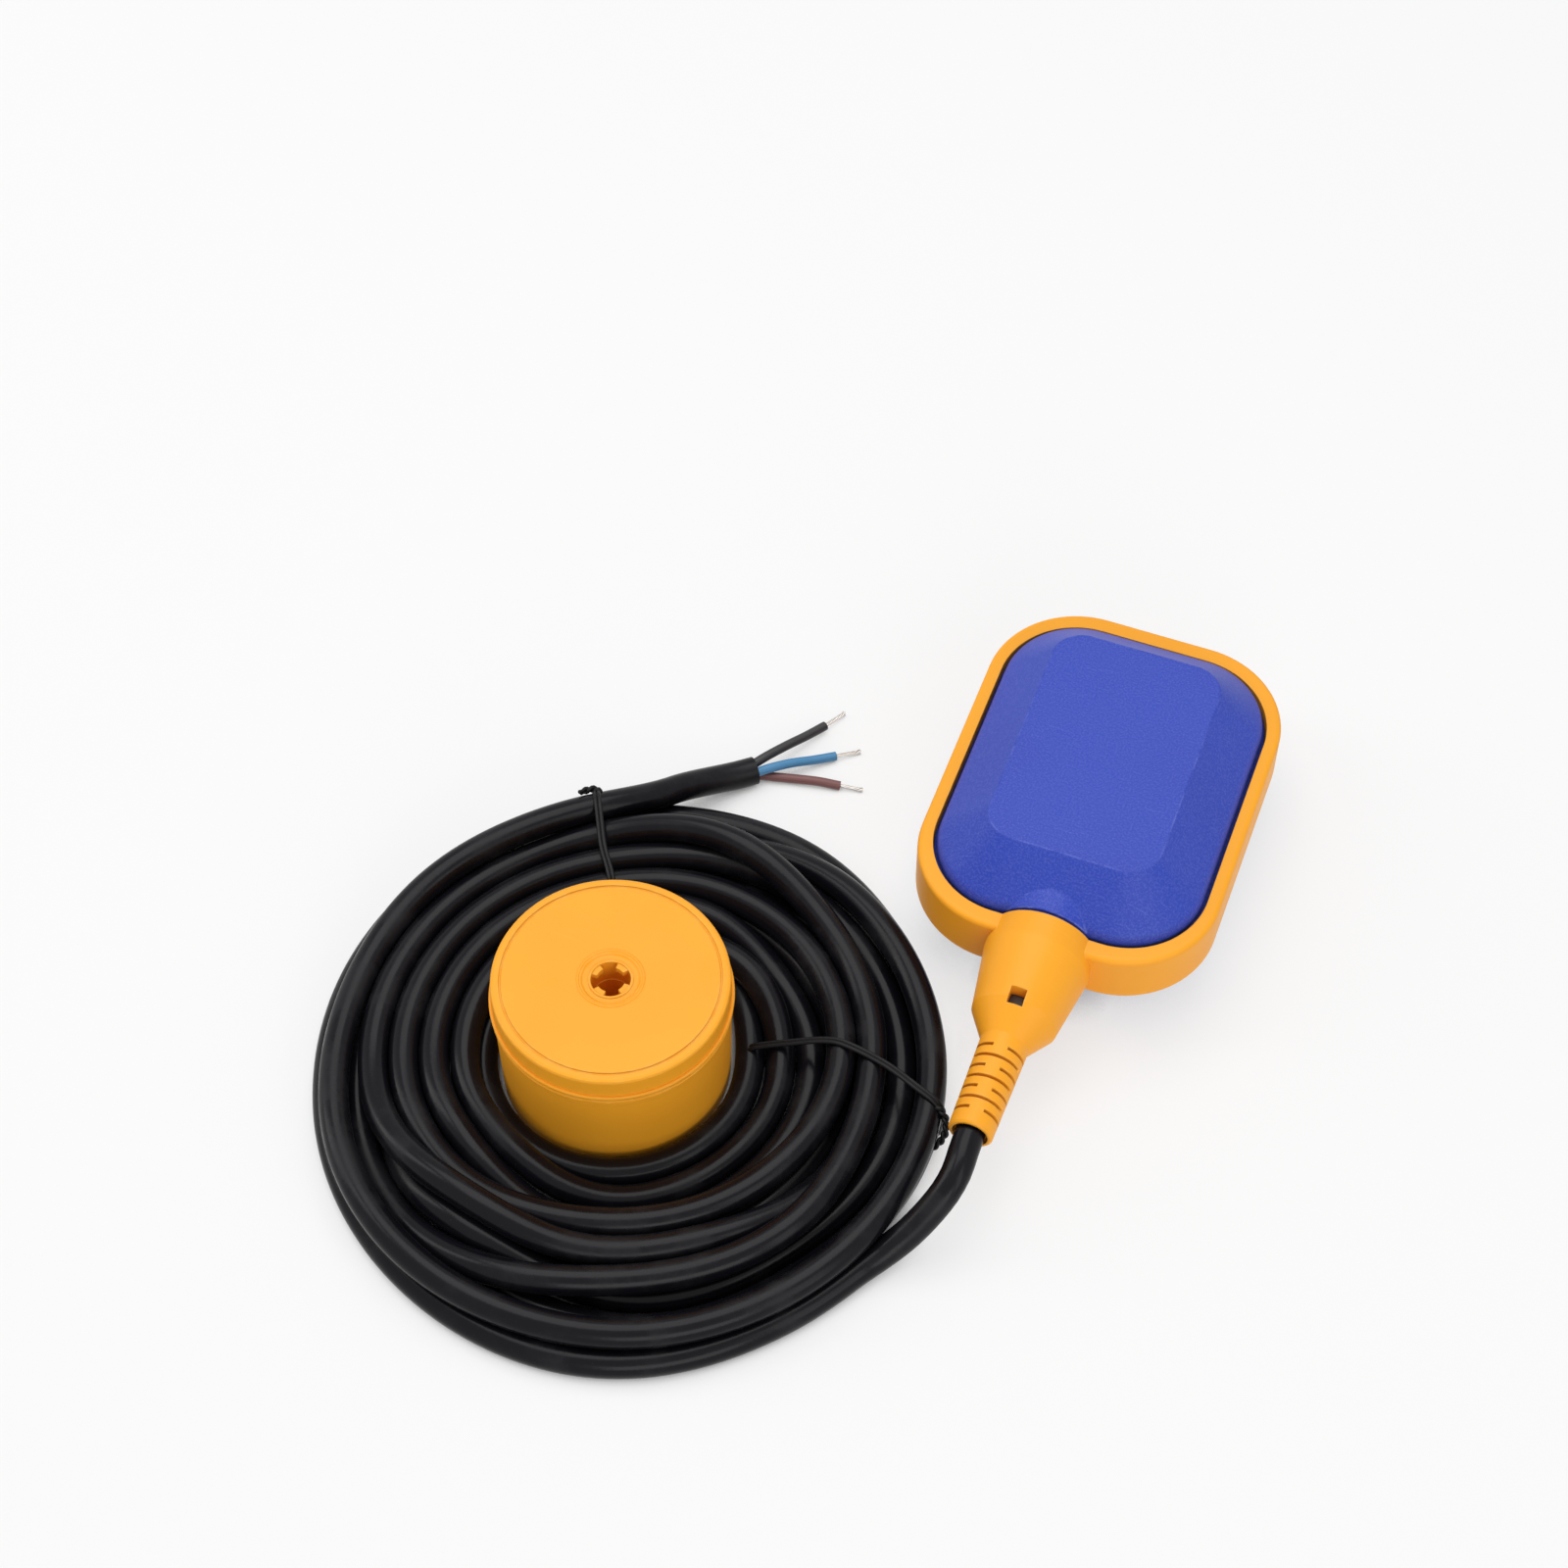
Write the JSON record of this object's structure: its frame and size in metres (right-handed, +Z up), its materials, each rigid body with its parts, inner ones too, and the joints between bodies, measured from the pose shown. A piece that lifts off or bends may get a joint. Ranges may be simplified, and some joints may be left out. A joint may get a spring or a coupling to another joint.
{
  "type": "cable float switch",
  "caption": "Flat float with shell covers and a slotted strain relief, on a long coiled cable with bare cores, and a round counterweight.",
  "frame": {"origin": "middle of the lower panel that the float lies on", "axes": "+Z up out of the upper panel, +Y along the float away from its neck, so the cable leaves towards -Y"},
  "size_m": [0.2015, 0.2308, 0.041],
  "materials": {
    "yellow_moulding": "satin",
    "blue_moulding": "semi-gloss",
    "cable_sheath": "satin",
    "clamp_plastic": "matt",
    "seal_rubber": "matt",
    "housing_plastic": "satin",
    "polished_steel": "polished",
    "plain_steel": "plain",
    "switch_plastic": "satin",
    "button_plastic": "gloss",
    "tab_brass": "plain",
    "core_black": "satin",
    "core_blue": "satin",
    "core_brown": "satin",
    "tinned_copper": "bright",
    "tie_wire": "satin",
    "ballast_iron": "as cast"
  },
  "bodies": {
    "root": {"float_frame": "yellow_moulding", "upper_cover": "blue_moulding", "lower_cover": "blue_moulding", "cable_entry": "cable_sheath", "cable_clamp": "clamp_plastic", "seal_grommet": "seal_rubber", "switch_housing": "housing_plastic", "housing_lid": "housing_plastic", "lever_pin": "plain_steel", "switch_body": "switch_plastic", "switch_screws": "plain_steel", "terminal_common": "tab_brass", "terminal_closed": "tab_brass", "terminal_open": "tab_brass", "wire_black": "core_black", "wire_blue": "core_blue", "wire_brown": "core_brown", "cable_lead": "cable_sheath", "cable_coil": "cable_sheath", "cable_tail": "cable_sheath", "core_black": "core_black", "core_blue": "core_blue", "core_brown": "core_brown", "strands_black": "tinned_copper", "strands_blue": "tinned_copper", "strands_brown": "tinned_copper", "tie_back": "tie_wire", "tie_right": "tie_wire", "weight_body": "yellow_moulding", "weight_cap": "yellow_moulding", "ballast_ring": "ballast_iron"},
    "ball": {"steel_ball": "polished_steel"},
    "lever": {"trip_lever": "plain_steel"},
    "button": {"switch_plunger": "button_plastic"}
  },
  "joints": [
    {"name": "ball_roll", "type": "slide", "parent": "root", "child": "ball", "axis": [0, -1, 0], "range_m": [0, 0.012]},
    {"name": "lever_turn", "type": "hinge", "parent": "root", "child": "lever", "pos_m": [-0.00255, 0.013, 0.0205], "axis": [0, 0, 1], "range_deg": [0, 3.02]},
    {"name": "button_press", "type": "slide", "parent": "root", "child": "button", "axis": [1, 0, 0], "range_m": [0, 0.00106]}
  ],
  "couplings": [
    {"joint": "lever_turn", "follows": "ball_roll", "rad_per_m": 4.3633},
    {"joint": "button_press", "follows": "ball_roll", "ratio": 0.087266}
  ]
}
